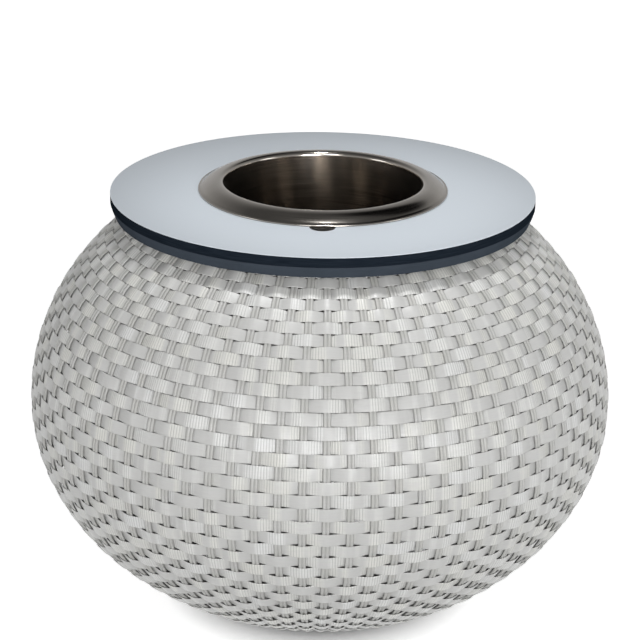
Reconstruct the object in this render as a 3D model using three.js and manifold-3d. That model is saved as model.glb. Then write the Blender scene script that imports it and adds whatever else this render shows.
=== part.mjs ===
// Round garden table: a globe woven in flat resin strands over a tube frame, with a round board
// on top and a steel ice bucket that hangs by its flange in the middle of the board.
// Millimetres, +Z up. The origin is on the floor, on the globe's axis. The finger notch faces -Y.

import * as THREE from 'three';
import { mergeVertices } from 'three/addons/utils/BufferGeometryUtils.js';
import Module from 'manifold-3d';

const wasm = await Module();
wasm.setup();

// Driving sizes of the whole table
const tableHeight = 440;
const globeRadius = 300;
const equatorHeight = 220;
const seatGap = 0.3;

// Woven globe: weavers pass over one stake and behind the next, in rows that widen downwards
const stakeCount = 84;
const stakeLeadShare = 1 / 3;
const rowCount = 41;
const topRowPitch = 11.44;
const weaveThickness = 4.5;
const weaveRelief = 2.4;
const weaveTopInset = 39.6;
const weaveBottomRadius = 132.6;
const weaveBottomHeight = 11;
const bindingThickness = 2.4;
const bindingEdgeGap = 0.6;

// Round top: a dark core board under a thin pale decor sheet
const topRadius = 214;
const coreThickness = 9.3;
const decorThickness = 0.7;
const bucketHoleClearance = 2.9;
const notchRadius = 12.5;
const notchCentreInset = 1;

// Carrier ring under the board
const carrierEdgeInset = 1.2;
const carrierDepth = 10.7;
const carrierSkirtTaper = 2.8;
const carrierSkirtThickness = 4;
const carrierFlangeThickness = 3;
const carrierBoltMargin = 6.2;
const carrierScrewCount = 4;

// Ice bucket, spun from one sheet
const bucketSheet = 1.2;
const bucketFlangeRadius = 126;
const bucketFlangeWidth = 21;
const bucketHemHeight = 2;
const bucketCrestRise = 10;
const bucketCrestRound = 4.5;
const bucketCrestShoulder = 9;
const bucketDepth = 205;
const bucketTaper = 16.5;
const bucketCornerRadius = 14;

// Tube frame inside the weave
const upperTubeRadius = 8;
const middleTubeRadius = 6;
const lowerTubeRadius = 6;
const ribTubeRadius = 6;
const ribCount = 6;

// Brackets between the frame and the top
const bracketCount = 4;
const bracketWidth = 24;
const bracketThickness = 3;
const bracketDrop = 6;

// Base bars and feet: a cross with a foot near the end of each arm
const baseArmCount = 4;
const barWidth = 30;
const barThickness = 6;
const footRadius = 14;
const footTopRadius = 12;
const footChamfer = 1.5;
const footEndInset = 17;
const footRecessRadius = 5.6;
const footRecessDepth = 9;

// Fasteners: shank radius, head radius and head height
const boltShankRadius = 2.5;
const boltHeadRadius = 4.2;
const boltHeadHeight = 4;
const woodScrewShankRadius = 2;
const woodScrewHeadRadius = 4;
const woodScrewHeadHeight = 2.6;
const woodScrewEdgeInset = 24;
const footScrewShankRadius = 2.2;
const footScrewHeadRadius = 4.4;
const footScrewHeadHeight = 3.2;
const fastenerClearance = 0.3;
const fastenerSkin = 2.5;
const cutOverrun = 1;

// How finely round shapes are divided
const topSegments = 60;
const ringSegments = 48;
const tubeSides = 8;
const ribSteps = 12;
const bucketSegments = 48;
const flangeSteps = 4;
const bendSteps = 3;
const fastenerSegments = 12;
const footSegments = 24;
const notchSteps = 10;
const meridianSteps = 8;
const meridianSamples = 400;
const bindingSteps = 3;

const quarterTurn = Math.PI / 2;
const fullTurn = Math.PI * 2;
const diagonal = Math.PI / 4;
const bindingWrapEnd = quarterTurn + diagonal;

// Materials
function finish(color, roughness, metalness) {
  return new THREE.MeshStandardMaterial({ color, roughness, metalness });
}
const wicker = finish(0xd5d4cf, 0.55, 0);
const paleDecor = finish(0xc2cacd, 0.38, 0);
const darkCore = finish(0x1c222a, 0.45, 0);
const charcoalCoat = finish(0x4a4f57, 0.5, 0.4);
const polishedSteel = finish(0xb4b0aa, 0.12, 1);
const frameCoat = finish(0xc9c8c4, 0.5, 0.5);
const zincSteel = finish(0x9a9c9e, 0.35, 1);
const blackNylon = finish(0x202124, 0.6, 0);

// Shape helpers

function arcPoints(centreX, centreY, radius, start, end, steps) {
  const points = [];
  for (let step = 0; step <= steps; step += 1) {
    const angle = start + (end - start) * step / steps;
    points.push(new THREE.Vector2(
      centreX + radius * Math.cos(angle),
      centreY + radius * Math.sin(angle),
    ));
  }
  return points;
}

// Turns a closed outline in (radius, height) about +Z.
function revolve(outline, segments) {
  const profile = THREE.ShapeUtils.area(outline) > 0 ? outline.slice() : outline.slice().reverse();
  profile.push(profile[0].clone());
  const geometry = new THREE.LatheGeometry(profile, segments);
  geometry.rotateX(quarterTurn);
  return geometry;
}

function extrudeUp(shape, height, base) {
  const geometry = new THREE.ExtrudeGeometry(shape, { depth: height, bevelEnabled: false });
  geometry.translate(0, 0, base);
  return geometry;
}

function upright(radius, base, top, x, y) {
  const geometry = new THREE.CylinderGeometry(radius, radius, top - base, fastenerSegments);
  geometry.rotateX(quarterTurn);
  geometry.translate(x, y, (base + top) / 2);
  return geometry;
}

// A polygon drawn through points on a circle lies inside it by this much at mid side.
function facetLoss(radius, segments) {
  return radius * (1 - Math.cos(Math.PI / segments));
}

function toSolid(geometry) {
  const bare = geometry.clone();
  bare.deleteAttribute('normal');
  bare.deleteAttribute('uv');
  const merged = mergeVertices(bare);
  return new wasm.Manifold(new wasm.Mesh({
    numProp: 3,
    vertProperties: Float32Array.from(merged.attributes.position.array),
    triVerts: Uint32Array.from(merged.index.array),
  }));
}

function cutAway(body, cutters) {
  let solid = toSolid(body);
  for (const cutter of cutters) {
    solid = solid.subtract(toSolid(cutter));
  }
  const mesh = solid.getMesh();
  const geometry = new THREE.BufferGeometry();
  geometry.setAttribute('position', new THREE.BufferAttribute(mesh.vertProperties, mesh.numProp));
  geometry.setIndex(new THREE.BufferAttribute(mesh.triVerts, 1));
  geometry.computeVertexNormals();
  return geometry;
}

function piece(name, geometry, material, parent) {
  const mesh = new THREE.Mesh(geometry, material);
  mesh.name = name;
  parent.add(mesh);
  return mesh;
}

function anglesAround(count, start) {
  return Array.from({ length: count }, (_, index) => start + fullTurn * index / count);
}

function onCircle(radius, angle) {
  return new THREE.Vector2(radius * Math.cos(angle), radius * Math.sin(angle));
}

// Heights, from the top down
const coreTop = tableHeight - decorThickness;
const coreBottom = coreTop - coreThickness;
const carrierTop = coreBottom - seatGap;
const carrierUnderside = carrierTop - carrierFlangeThickness;
const carrierBottom = carrierTop - carrierDepth;
const weaveCeiling = carrierUnderside - seatGap;

// The globe's outer meridian: half an ellipse above the equator and half an ellipse below it
const weaveTopRadius = topRadius - weaveTopInset;
const weaveTopAngle = Math.acos(weaveTopRadius / globeRadius);
const weaveBottomAngle = -Math.acos(weaveBottomRadius / globeRadius);

// The frame lies just inside the weave, clear of the flat facets that the weave is divided into
const meridianSegments = fullTurn * meridianSteps / Math.max(weaveTopAngle, -weaveBottomAngle);
const frameDepth = weaveThickness + seatGap + facetLoss(globeRadius, stakeCount)
  + facetLoss(globeRadius, meridianSegments);

// The weave ends under the carrier, or lower where the strand bound over the upper ring stands higher
const steepestRise = (weaveCeiling - equatorHeight) / Math.sin(weaveTopAngle);
const edgeNormal = new THREE.Vector2(weaveTopRadius / globeRadius ** 2, Math.sin(weaveTopAngle) / steepestRise)
  .normalize();
const bindingStandOut = upperTubeRadius + seatGap + bindingThickness
  - (frameDepth + upperTubeRadius) * edgeNormal.y;
const weaveTopHeight = weaveCeiling - Math.max(0, bindingStandOut);
const upperRise = (weaveTopHeight - equatorHeight) / Math.sin(weaveTopAngle);
const lowerDrop = (equatorHeight - weaveBottomHeight) / Math.sin(-weaveBottomAngle);

function halfHeight(angle) {
  return angle >= 0 ? upperRise : lowerDrop;
}

// Radius and height of the meridian at an angle from the equator, at a depth inside the surface.
function meridianPoint(angle, depth) {
  const rise = halfHeight(angle);
  const normal = new THREE.Vector2(Math.cos(angle) / globeRadius, Math.sin(angle) / rise).normalize();
  return new THREE.Vector2(
    globeRadius * Math.cos(angle) - depth * normal.x,
    equatorHeight + rise * Math.sin(angle) - depth * normal.y,
  );
}

function meridianNormalAngle(angle) {
  return Math.atan2(Math.sin(angle) / halfHeight(angle), Math.cos(angle) / globeRadius);
}

// The change of angle that moves a point this far along the meridian.
function meridianStep(angle, distance) {
  const rise = halfHeight(angle);
  return distance / Math.hypot(globeRadius * Math.sin(angle), rise * Math.cos(angle));
}

class MeridianLine extends THREE.Curve {
  constructor(depth, from, to) {
    super();
    this.depth = depth;
    this.from = from;
    this.to = to;
  }

  getPoint(share, target = new THREE.Vector3()) {
    const point = meridianPoint(this.from + (this.to - this.from) * share, this.depth);
    return target.set(point.x, 0, point.y);
  }
}

function meridianPoints(depth, from, to, steps) {
  const points = [];
  for (let step = 0; step <= steps; step += 1) {
    points.push(meridianPoint(from + (to - from) * step / steps, depth));
  }
  return points;
}

// Rings of the frame
const upperRingCentre = meridianPoint(weaveTopAngle, frameDepth + upperTubeRadius);
const lowerRingCentre = meridianPoint(weaveBottomAngle, frameDepth + lowerTubeRadius);
const middleRingRadius = globeRadius - frameDepth - 2 * ribTubeRadius - seatGap - middleTubeRadius
  - facetLoss(globeRadius, ringSegments);

// Brackets, bolts and the carrier's inner edge, from the upper ring inward
const bracketFace = Math.sqrt(
  (upperRingCentre.x - upperTubeRadius - facetLoss(upperRingCentre.x, ringSegments)) ** 2
  - (bracketWidth / 2) ** 2,
) - seatGap;
const boltCircleRadius = bracketFace - bracketThickness - boltHeadRadius - seatGap;
const carrierInnerRadius = boltCircleRadius - carrierBoltMargin;
const bracketTop = carrierUnderside - seatGap;
const screwCircleRadius = topRadius - woodScrewEdgeInset;
const fastenerTop = coreTop - fastenerSkin;

// Bucket radii and heights, on the middle of its sheet
const hemRadius = bucketFlangeRadius - bucketSheet / 2;
const crestRadius = bucketFlangeRadius - bucketFlangeWidth;
const bucketBodyRadius = crestRadius - bucketCrestRound;
const bucketBaseRadius = bucketBodyRadius - bucketTaper;
const crestHeight = tableHeight + bucketCrestRise - bucketSheet / 2;
const hemBottom = tableHeight + seatGap;
const bucketFloor = tableHeight - bucketDepth;

const bucketHoleRadius = bucketBodyRadius + bucketSheet / 2 + bucketHoleClearance;
const notchCentreRadius = bucketFlangeRadius - notchCentreInset;

// Base bars and feet, from the lower ring inward
const barUnderside = lowerRingCentre.y - barThickness / 2;
const barHalfLength = Math.sqrt(
  (lowerRingCentre.x - lowerTubeRadius - facetLoss(lowerRingCentre.x, ringSegments)) ** 2
  - (barWidth / 2) ** 2,
) - seatGap;
const footCircleRadius = barHalfLength - footEndInset;
const footHeight = barUnderside - seatGap;

// Angles on the meridian at the middle of each row, from the top down
function rowAngles() {
  const samples = meridianPoints(0, weaveTopAngle, weaveBottomAngle, meridianSamples);
  const distances = [0];
  samples.slice(1).forEach((point, index) => {
    distances.push(distances[index] + point.distanceTo(samples[index]));
  });
  const widening = (distances[meridianSamples] - topRowPitch * rowCount) / rowCount ** 2;
  const rowEdge = (row) => topRowPitch * row + widening * row ** 2;
  return Array.from({ length: rowCount }, (_, row) => {
    const distance = (rowEdge(row) + rowEdge(row + 1)) / 2;
    const next = distances.findIndex((value) => value >= distance);
    const past = (distance - distances[next - 1]) / (distances[next] - distances[next - 1]);
    return weaveTopAngle + (weaveBottomAngle - weaveTopAngle) * (next - 1 + past) / meridianSamples;
  });
}

// Woven globe: one shell, open at the top and at the base. Its outer face stands out where a weaver
// passes over a stake, and lies back where the stake shows.
function wovenGlobe() {
  const innerAngles = [
    ...Array.from({ length: meridianSteps }, (_, step) => weaveBottomAngle * (1 - step / meridianSteps)),
    ...Array.from({ length: meridianSteps + 1 }, (_, step) => weaveTopAngle * step / meridianSteps),
  ];
  const rings = [
    { angle: weaveTopAngle, depth: () => 0 },
    ...rowAngles().map((angle, row) => ({ angle, depth: (stake) => weaveRelief * ((row + stake) % 2) })),
    { angle: weaveBottomAngle, depth: () => 0 },
    ...innerAngles.map((angle) => ({ angle, depth: () => weaveThickness })),
  ];
  const turns = anglesAround(stakeCount, fullTurn * stakeLeadShare / stakeCount - quarterTurn);
  const positions = rings.flatMap((ring) => turns.flatMap((turn, stake) => {
    const point = meridianPoint(ring.angle, ring.depth(stake));
    return [point.x * Math.cos(turn), point.x * Math.sin(turn), point.y];
  }));
  const faces = rings.flatMap((_, index) => turns.flatMap((__, stake) => {
    const nextStake = (stake + 1) % stakeCount;
    const here = index * stakeCount;
    const below = (index + 1) % rings.length * stakeCount;
    const corners = [here + stake, below + stake, below + nextStake, here + nextStake];
    const [a, b, c, d] = (index + stake) % 2 === 0 ? corners : [...corners.slice(1), corners[0]];
    return [a, b, c, a, c, d];
  }));
  const geometry = new THREE.BufferGeometry();
  geometry.setAttribute('position', new THREE.Float32BufferAttribute(positions, 3));
  geometry.setIndex(faces);
  geometry.computeVertexNormals();
  return geometry;
}

// A flat strand bound over a ring where the weave ends, from the weave's edge to the ring's inner side
function edgeBinding(ringCentre, tubeRadius, weaveAngle) {
  const innerRadius = tubeRadius + seatGap;
  const outerRadius = innerRadius + bindingThickness;
  const side = Math.sign(weaveAngle);
  const start = meridianNormalAngle(weaveAngle) + side * bindingEdgeGap / tubeRadius;
  const end = side * bindingWrapEnd;
  const outline = [
    ...arcPoints(ringCentre.x, ringCentre.y, outerRadius, start, end, bindingSteps),
    ...arcPoints(ringCentre.x, ringCentre.y, innerRadius, end, start, bindingSteps),
  ];
  return revolve(outline, ringSegments);
}

function frameRing(radius, tubeRadius) {
  return new THREE.TorusGeometry(radius, tubeRadius, tubeSides, ringSegments);
}

// A rib runs just inside the weave, from the side of the lower ring to the side of the upper ring
function frameRib() {
  const outline = new THREE.Shape(arcPoints(0, 0, ribTubeRadius, 0, fullTurn, tubeSides).slice(1));
  const from = weaveBottomAngle + meridianStep(weaveBottomAngle, lowerTubeRadius + seatGap);
  const to = weaveTopAngle - meridianStep(weaveTopAngle, upperTubeRadius + seatGap);
  return new THREE.ExtrudeGeometry(outline, {
    steps: ribSteps,
    bevelEnabled: false,
    extrudePath: new MeridianLine(frameDepth + ribTubeRadius, from, to),
  });
}

// The board's plan: a disc with the bucket's hole, which a round-ended notch widens towards -Y
function topPlan() {
  const plan = new THREE.Shape(arcPoints(0, 0, topRadius, 0, fullTurn, topSegments).slice(1));
  const notchMouth = Math.asin(notchRadius / bucketHoleRadius);
  const hole = [
    ...arcPoints(0, 0, bucketHoleRadius, notchMouth - quarterTurn, 3 * quarterTurn - notchMouth, topSegments),
    ...arcPoints(0, -notchCentreRadius, notchRadius, Math.PI, fullTurn, notchSteps),
  ];
  plan.holes.push(new THREE.Path(hole));
  return plan;
}

// Holes for all the fasteners that reach up into the board
function boardFastenerHoles(base, top) {
  const bolts = anglesAround(bracketCount, diagonal).map((angle) => {
    const place = onCircle(boltCircleRadius, angle);
    return upright(boltShankRadius + fastenerClearance, base, top, place.x, place.y);
  });
  const screws = anglesAround(carrierScrewCount, 0).map((angle) => {
    const place = onCircle(screwCircleRadius, angle);
    return upright(woodScrewShankRadius + fastenerClearance, base, top, place.x, place.y);
  });
  return [...bolts, ...screws];
}

function coreBoard() {
  const board = extrudeUp(topPlan(), coreThickness, coreBottom);
  return cutAway(board, boardFastenerHoles(coreBottom - cutOverrun, fastenerTop + seatGap));
}

// Carrier ring: a flat flange under the board, with a skirt that tapers in towards its lower edge
function carrierRing() {
  const outerRadius = topRadius - carrierEdgeInset;
  const lowerRadius = outerRadius - carrierSkirtTaper;
  const outline = [
    new THREE.Vector2(carrierInnerRadius, carrierTop),
    new THREE.Vector2(outerRadius, carrierTop),
    new THREE.Vector2(outerRadius, carrierUnderside),
    new THREE.Vector2(lowerRadius, carrierBottom),
    new THREE.Vector2(lowerRadius - carrierSkirtThickness, carrierBottom),
    new THREE.Vector2(lowerRadius - carrierSkirtThickness, carrierUnderside),
    new THREE.Vector2(carrierInnerRadius, carrierUnderside),
  ];
  const holes = boardFastenerHoles(carrierUnderside - cutOverrun, carrierTop + cutOverrun);
  return cutAway(revolve(outline, topSegments), holes);
}

// Angle bracket: one leg stands against the upper ring, the other lies under the carrier ring
function mountBracket() {
  const legBottom = upperRingCentre.y - bracketDrop;
  const innerEnd = carrierInnerRadius;
  const outline = new THREE.Shape([
    new THREE.Vector2(innerEnd, bracketTop - bracketThickness),
    new THREE.Vector2(bracketFace - bracketThickness, bracketTop - bracketThickness),
    new THREE.Vector2(bracketFace - bracketThickness, legBottom),
    new THREE.Vector2(bracketFace, legBottom),
    new THREE.Vector2(bracketFace, bracketTop),
    new THREE.Vector2(innerEnd, bracketTop),
  ]);
  const angle = new THREE.ExtrudeGeometry(outline, { depth: bracketWidth, bevelEnabled: false });
  angle.translate(0, 0, -bracketWidth / 2);
  angle.rotateX(quarterTurn);
  const holeBase = bracketTop - bracketThickness - cutOverrun;
  const hole = upright(
    boltShankRadius + fastenerClearance, holeBase, bracketTop + cutOverrun, boltCircleRadius, 0,
  );
  return cutAway(angle, [hole]);
}

// Button-head fastener that points up: the head lies below the height of its seat
function fastener(headRadius, headHeight, shankRadius, seat, tip) {
  const headTop = seat - seatGap;
  const outline = [
    new THREE.Vector2(0, headTop - headHeight),
    new THREE.Vector2(headRadius - headHeight / 2, headTop - headHeight),
    new THREE.Vector2(headRadius, headTop - headHeight / 2),
    new THREE.Vector2(headRadius, headTop),
    new THREE.Vector2(shankRadius, headTop),
    new THREE.Vector2(shankRadius, tip),
    new THREE.Vector2(0, tip),
  ];
  return revolve(outline, fastenerSegments);
}

// A cross of flat bars inside the lower ring: one whole bar, and two short ones that meet it
function baseBar(from, to, footPlaces) {
  const bar = new THREE.BoxGeometry(to - from, barWidth, barThickness);
  bar.translate((from + to) / 2, 0, barUnderside + barThickness / 2);
  const holes = footPlaces.map((x) => upright(
    footScrewShankRadius + fastenerClearance,
    barUnderside - cutOverrun,
    barUnderside + barThickness + cutOverrun,
    x,
    0,
  ));
  return cutAway(bar, holes);
}

// Foot: a turned glide with a recess for its screw
function foot() {
  const boreRadius = footScrewShankRadius + fastenerClearance;
  const outline = [
    new THREE.Vector2(footRecessRadius, 0),
    new THREE.Vector2(footRadius - footChamfer, 0),
    new THREE.Vector2(footRadius, footChamfer),
    new THREE.Vector2(footTopRadius, footHeight),
    new THREE.Vector2(boreRadius, footHeight),
    new THREE.Vector2(boreRadius, footRecessDepth),
    new THREE.Vector2(footRecessRadius, footRecessDepth),
  ];
  return revolve(outline, footSegments);
}

// Thickens a line in (radius, height) into a sheet's outline. The line ends on the axis.
function sheetOutline(line, thickness) {
  const offsetBy = (distance) => line.map((point, index) => {
    const before = line[Math.max(index - 1, 0)];
    const after = line[Math.min(index + 1, line.length - 1)];
    const along = after.clone().sub(before).normalize();
    const radius = point.x === 0 ? 0 : point.x - along.y * distance;
    return new THREE.Vector2(radius, point.y + along.x * distance);
  });
  return [...offsetBy(thickness / 2), ...offsetBy(-thickness / 2).reverse()];
}

// Bucket: a hem that stands on the board, a domed flange up to the crest, then the tapered bowl
function iceBucket() {
  const hemTop = hemBottom + bucketHemHeight;
  const flange = new THREE.QuadraticBezierCurve(
    new THREE.Vector2(hemRadius, hemTop),
    new THREE.Vector2(crestRadius + bucketCrestShoulder, crestHeight),
    new THREE.Vector2(crestRadius, crestHeight),
  );
  const crest = new THREE.QuadraticBezierCurve(
    new THREE.Vector2(crestRadius, crestHeight),
    new THREE.Vector2(bucketBodyRadius, crestHeight),
    new THREE.Vector2(bucketBodyRadius, crestHeight - bucketCrestRound),
  );
  const corner = new THREE.QuadraticBezierCurve(
    new THREE.Vector2(bucketBaseRadius, bucketFloor + bucketCornerRadius),
    new THREE.Vector2(bucketBaseRadius, bucketFloor),
    new THREE.Vector2(bucketBaseRadius - bucketCornerRadius, bucketFloor),
  );
  const line = [
    new THREE.Vector2(hemRadius, hemBottom),
    ...flange.getPoints(flangeSteps),
    ...crest.getPoints(bendSteps).slice(1),
    ...corner.getPoints(bendSteps),
    new THREE.Vector2(0, bucketFloor),
  ];
  return revolve(sheetOutline(line, bucketSheet), bucketSegments);
}

// Assembly
const table = new THREE.Group();
const bucketGroup = new THREE.Group();
table.add(bucketGroup);

function placedRing(name, centre, tubeRadius) {
  const ring = piece(name, frameRing(centre.x, tubeRadius), frameCoat, table);
  ring.position.z = centre.y;
}

function addFrame() {
  placedRing('frame_ring_upper', upperRingCentre, upperTubeRadius);
  placedRing('frame_ring_middle', new THREE.Vector2(middleRingRadius, equatorHeight), middleTubeRadius);
  placedRing('frame_ring_lower', lowerRingCentre, lowerTubeRadius);
  anglesAround(ribCount, 0).forEach((angle, index) => {
    const rib = piece(`frame_rib_${index + 1}`, frameRib(), frameCoat, table);
    rib.rotation.z = angle;
  });
}

function addBase() {
  const halfBar = barWidth / 2 + seatGap;
  const bars = new THREE.Group();
  bars.rotation.z = diagonal;
  table.add(bars);
  const longBar = baseBar(-barHalfLength, barHalfLength, [-footCircleRadius, footCircleRadius]);
  piece('base_bar_long', longBar, frameCoat, bars);
  const shortBars = { base_bar_short_left: quarterTurn, base_bar_short_right: -quarterTurn };
  for (const [name, turn] of Object.entries(shortBars)) {
    const bar = piece(name, baseBar(halfBar, barHalfLength, [footCircleRadius]), frameCoat, bars);
    bar.rotation.z = turn;
  }
  const screwTip = barUnderside + barThickness;
  anglesAround(baseArmCount, diagonal).forEach((angle, index) => {
    const place = onCircle(footCircleRadius, angle);
    const glide = piece(`foot_${index + 1}`, foot(), blackNylon, table);
    glide.position.set(place.x, place.y, 0);
    const screwShape = fastener(
      footScrewHeadRadius, footScrewHeadHeight, footScrewShankRadius, footRecessDepth, screwTip,
    );
    const screw = piece(`foot_screw_${index + 1}`, screwShape, zincSteel, table);
    screw.position.set(place.x, place.y, 0);
  });
}

function addWeave() {
  piece('woven_globe', wovenGlobe(), wicker, table);
  piece('binding_upper', edgeBinding(upperRingCentre, upperTubeRadius, weaveTopAngle), wicker, table);
  piece('binding_lower', edgeBinding(lowerRingCentre, lowerTubeRadius, weaveBottomAngle), wicker, table);
}

function addTop() {
  piece('carrier_ring', carrierRing(), charcoalCoat, table);
  piece('top_core_board', coreBoard(), darkCore, table);
  piece('top_decor_sheet', extrudeUp(topPlan(), decorThickness, coreTop), paleDecor, table);
  anglesAround(bracketCount, diagonal).forEach((angle, index) => {
    const bracket = piece(`mount_bracket_${index + 1}`, mountBracket(), zincSteel, table);
    bracket.rotation.z = angle;
    const boltShape = fastener(
      boltHeadRadius, boltHeadHeight, boltShankRadius, bracketTop - bracketThickness, fastenerTop,
    );
    const place = onCircle(boltCircleRadius, angle);
    const bolt = piece(`bracket_bolt_${index + 1}`, boltShape, zincSteel, table);
    bolt.position.set(place.x, place.y, 0);
  });
  anglesAround(carrierScrewCount, 0).forEach((angle, index) => {
    const screwShape = fastener(
      woodScrewHeadRadius, woodScrewHeadHeight, woodScrewShankRadius, carrierUnderside, fastenerTop,
    );
    const place = onCircle(screwCircleRadius, angle);
    const screw = piece(`carrier_screw_${index + 1}`, screwShape, zincSteel, table);
    screw.position.set(place.x, place.y, 0);
  });
}

addFrame();
addBase();
addWeave();
addTop();
piece('ice_bucket', iceBucket(), polishedSteel, bucketGroup);

export default table;
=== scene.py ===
import math

import bpy
import numpy as np
from mathutils import Matrix, Vector


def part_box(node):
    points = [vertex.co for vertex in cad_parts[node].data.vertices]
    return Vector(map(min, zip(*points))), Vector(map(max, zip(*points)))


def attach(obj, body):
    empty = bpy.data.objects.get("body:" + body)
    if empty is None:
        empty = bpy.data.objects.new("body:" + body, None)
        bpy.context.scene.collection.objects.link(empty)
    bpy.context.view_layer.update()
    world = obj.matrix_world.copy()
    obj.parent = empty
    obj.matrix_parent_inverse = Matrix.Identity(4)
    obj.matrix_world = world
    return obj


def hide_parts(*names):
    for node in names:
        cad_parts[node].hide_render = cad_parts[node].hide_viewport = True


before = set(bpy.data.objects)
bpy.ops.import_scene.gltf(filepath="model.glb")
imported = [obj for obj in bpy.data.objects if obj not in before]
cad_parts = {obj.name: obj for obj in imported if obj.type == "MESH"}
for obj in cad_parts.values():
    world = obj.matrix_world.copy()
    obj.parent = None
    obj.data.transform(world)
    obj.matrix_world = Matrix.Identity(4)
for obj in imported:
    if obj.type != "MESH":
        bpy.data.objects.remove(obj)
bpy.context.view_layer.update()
random_seed = 84
random = np.random.default_rng(random_seed)

# Sizes in metres, angles in radians, shares and counts. What the CAD's own pieces give is measured on them.

# Weave: upright stakes, and weavers that pass over one stake and behind the next
globe_radius = 0.3
equator_height = 0.22
stake_count = 84
stake_lead_share = 1 / 3
stake_width = 0.007
stake_pitch_share = 0.52
stake_thickness = 0.0019
stake_rise = 0.0003
stake_bulge = 0.0005
stake_wander = 0.00025
stake_wander_rows = 4
stake_steps_per_row = 2
stake_section_shares = [
    (-0.5, -0.3), (-0.5, 0), (-0.43, 0.33), (-0.27, 0.5), (-0.12, 0.33), (-0.03, 0),
    (0.03, 0), (0.12, 0.33), (0.27, 0.5), (0.43, 0.33), (0.5, 0), (0.5, -0.3),
]
row_count = 41
top_row_pitch = 0.01144
row_gap = 0.0001
weaver_thickness = 0.0009
weaver_swing = 0.0017
weaver_swing_growth = 0.001
weaver_swing_spread_share = 0.07
weaver_crease_share = 0.12
weaver_steps_per_stake = 8
weaver_wander = 0.00015
weaver_pieces = 4
weaver_section_shares = [
    (-0.5, 0), (-0.47, 0.42), (-0.25, 0.56), (0.25, 0.56),
    (0.47, 0.42), (0.5, 0), (0.45, -0.5), (-0.45, -0.5),
]
weave_outer_clearance = 0.0001
weave_middle_depth = weaver_swing + weaver_thickness / 2 + weave_outer_clearance
# Painted shade in the recesses between strands: its least share, and the slimness at which it reaches its
# full share
least_recess_painted_shade_share = 0.25
full_recess_painted_shade_slim_share = 0.14
meridian_samples = 4000

# Strand wound round each ring where the weave ends
binding_strand_thickness = 0.0011
binding_strand_width = 0.0085
binding_lap = 0.0005
binding_ring_gap = 0.0002
binding_steps_per_turn = 16
binding_section_shares = [(-0.5, 0), (-0.42, 0.5), (0.42, 0.5), (0.5, 0), (0.42, -0.5), (-0.42, -0.5)]

# Round top
board_edge_round = 0.0006
decor_edge_round = 0.0002
carrier_edge_round = 0.0007
edge_steps = 4
top_segments = 256
notch_steps = 24
notch_reach_share = 1.05
carrier_skirt_thickness = 0.004
carrier_skirt_taper = math.radians(15)
carrier_rim_share = 0.999

# Bucket
bucket_segments = 192
bucket_sheet = 0.0012
hem_bead_radius = 0.0011
hem_bead_start = math.radians(-108)
hem_bead_end = math.radians(135)
hem_groove_width = 0.0012
crest_shoulder = 0.009
crest_round = 0.0045
floor_corner = 0.014
flange_steps = 20
bend_steps = 8

# Frame
ring_segments = 144
tube_sides = 20
rib_steps = 48
bracket_bevel = 0.0005
bar_bevel = 0.0006
fastener_bevel = 0.0004
foot_bevel = 0.0004
bevel_steps = 3

# Edges sharper than these angles stay sharp
turned_sharp_angle = math.radians(35)
plate_sharp_angle = math.radians(30)
strand_sharp_angle = math.radians(50)
bucket_sharp_angle = math.radians(50)
bevel_sharp_angle = math.radians(40)

# Camera, fitted to the photograph's 640 pixel frame
camera_distance = 2.07
camera_aim_side = -0.001
camera_aim_height = 0.298
camera_elevation = math.radians(20.8)
camera_roll = math.radians(0.87)
camera_lens_mm = 112.5
camera_sensor_mm = 36

# Light and floor
floor_half = 9
key_strength = 1.7
key_elevation = math.radians(6)
key_azimuth = math.radians(15)
fill_strength = 0.66
fill_elevation = math.radians(20)
fill_azimuth = math.radians(-10)
side_strength = 0.33
side_elevation = math.radians(4)
side_azimuth = math.radians(68)
sun_spread = math.radians(20)
top_light_power = 55
top_light_place = Vector((0.05, -0.45, 1.9))
top_light_aim = Vector((0.02, -0.055, 0.44))
top_light_cone = math.radians(21)
top_light_blend_share = 0.7
top_light_radius = 0.1
world_strength = 0.3
floor_grey = 0.92
floor_roughness = 0.9
floor_lift = 0.69
lift_start_radius = 0.12
lift_full_radius = 0.17
ceiling_start_share = 0.25
ceiling_full_share = 0.8
ceiling_start_strength = 0.55
ceiling_full_strength = 0.1
card_azimuth = math.radians(32)
card_elevation = math.radians(50)
card_core = math.radians(12)
card_edge = math.radians(20)
card_shade = 0.03

# Materials: colours in linear red, green and blue, noise scales in spots per metre, depths in metres
noise_low_share = 0.3
noise_high_share = 0.7
soft_detail = 1
fine_detail = 2
cloud_detail = 3
plated_cloud_detail = 4

# In the strand looks, shade is the darker colour of the random streaks and of the painted shade in rib
# troughs, grooves, edges and recesses.
weaver_look = dict(
    cool=(0.67, 0.675, 0.67), warm=(0.64, 0.638, 0.6), plain=(0.52, 0.52, 0.51), shade=(0.34, 0.34, 0.33),
    rib_spacing=0.0026, rib_shade=0.7, rib_depth=0.00008, groove_shade=0, recess_painted_shade_strength=0.85, roughness=0.34,
)
# Stake colours are painted darker than the weavers', to stand in for the shade that the stakes lie in between
# the weavers.
stake_look = dict(
    cool=(0.52, 0.52, 0.51), warm=(0.51, 0.505, 0.48), plain=(0.48, 0.48, 0.46), shade=(0.24, 0.24, 0.23),
    rib_spacing=0.003, rib_shade=0.1, rib_depth=0.00003, groove_shade=0.4, recess_painted_shade_strength=0.5, roughness=0.4,
)
resin_specular = 0.5
resin_roughness_drop = 0.05
resin_roughness_rise = 0.08
resin_patch_scale = 70
resin_patch_spacing = 3
resin_patch_low_share = 0.45
resin_patch_high_share = 0.55
resin_plain_rib_share = 0.1
resin_rib_low = -1
resin_rib_high = -0.45
resin_streak_scale = 12
resin_streak_stretch = 8
resin_streak_low_share = 0.35
resin_streak_high_share = 0.75
resin_streak_shade = 0.14
resin_groove_inner_share = 0.04
resin_groove_outer_share = 0.11
resin_edge_inner_share = 0.38
resin_edge_outer_share = 0.47
resin_grain_scale = 1800
resin_grain_share = 0.5

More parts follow.
